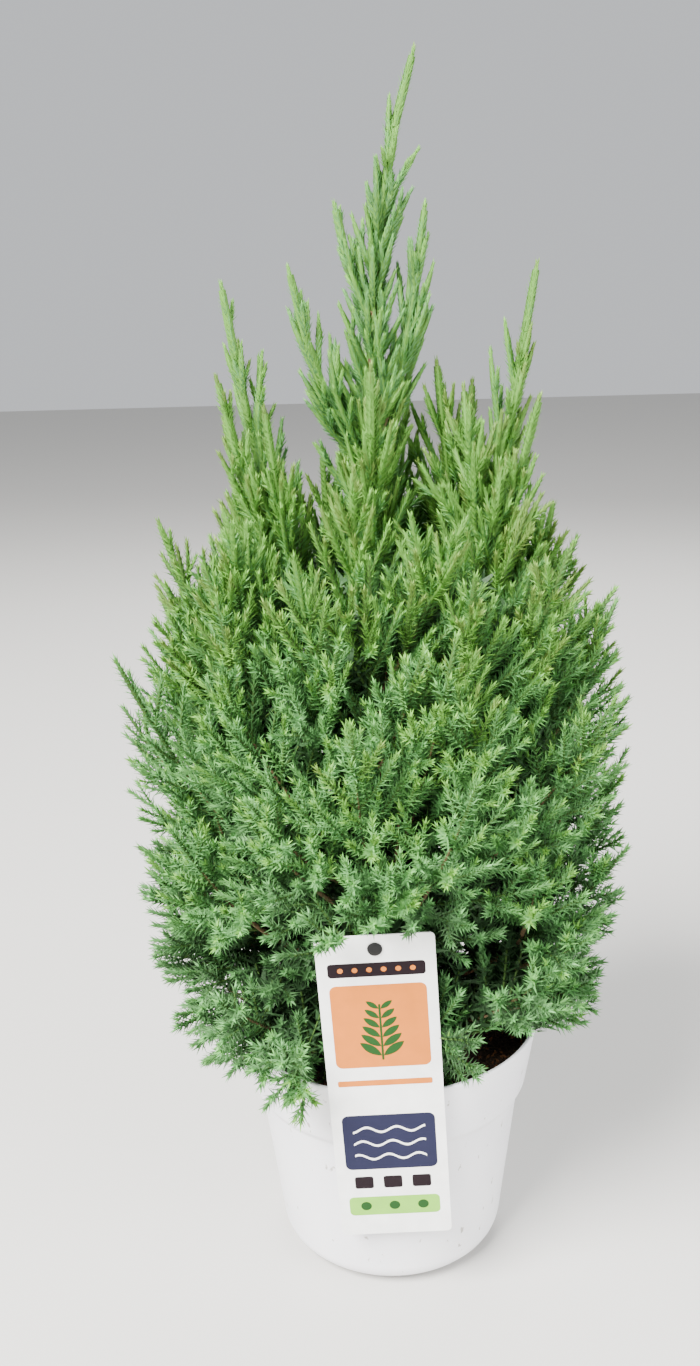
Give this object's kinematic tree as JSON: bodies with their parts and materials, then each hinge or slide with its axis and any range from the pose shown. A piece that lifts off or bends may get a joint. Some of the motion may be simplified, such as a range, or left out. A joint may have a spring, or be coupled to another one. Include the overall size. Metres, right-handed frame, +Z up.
{
  "type": "potted stricta chinese juniper",
  "caption": "Young cone-shaped juniper with dense upright plumes of short needles, growing in a round white plastic pot, with a hanging plant label.",
  "frame": {"origin": "middle of the flat underside of the pot, which stands on the ground", "axes": "+Z up along the trunk; the label hangs on the -Y side, which is the front; +X to the right of someone who looks at the label"},
  "size_m": [0.2973, 0.3109, 0.721],
  "materials": {
    "needles": "satin",
    "bark": "matte",
    "compost": "matte",
    "pot_plastic": "satin",
    "label_plastic": "satin",
    "peg_plastic": "satin"
  },
  "bodies": {
    "root": {"bough_lower_1": "bark", "bough_lower_2": "bark", "bough_lower_3": "bark", "bough_lower_4": "bark", "bough_lower_5": "bark", "bough_middle_1": "bark", "bough_middle_2": "bark", "bough_middle_3": "bark", "bough_middle_4": "bark", "bough_middle_5": "bark", "bough_middle_6": "bark", "bough_skirt_1": "bark", "bough_skirt_2": "bark", "bough_skirt_3": "bark", "bough_skirt_4": "bark", "bough_skirt_5": "bark", "bough_spire_1": "bark", "bough_spire_2": "bark", "bough_spire_3": "bark", "bough_upper_1": "bark", "bough_upper_2": "bark", "bough_upper_3": "bark", "bough_upper_4": "bark", "bough_upper_5": "bark", "label_card": "label_plastic", "label_peg": "peg_plastic", "plume_leader": "needles", "plume_lower_1": "needles", "plume_lower_2": "needles", "plume_lower_3": "needles", "plume_lower_4": "needles", "plume_lower_5": "needles", "plume_middle_1": "needles", "plume_middle_2": "needles", "plume_middle_3": "needles", "plume_middle_4": "needles", "plume_middle_5": "needles", "plume_middle_6": "needles", "plume_skirt_1": "needles", "plume_skirt_2": "needles", "plume_skirt_3": "needles", "plume_skirt_4": "needles", "plume_skirt_5": "needles", "plume_spire_1": "needles", "plume_spire_2": "needles", "plume_spire_3": "needles", "plume_trunk_1": "needles", "plume_trunk_2": "needles", "plume_trunk_3": "needles", "plume_trunk_4": "needles", "plume_trunk_5": "needles", "plume_trunk_6": "needles", "plume_upper_1": "needles", "plume_upper_2": "needles", "plume_upper_3": "needles", "plume_upper_4": "needles", "plume_upper_5": "needles", "pot": "pot_plastic", "soil": "compost", "trunk": "bark"}
  },
  "joints": []
}
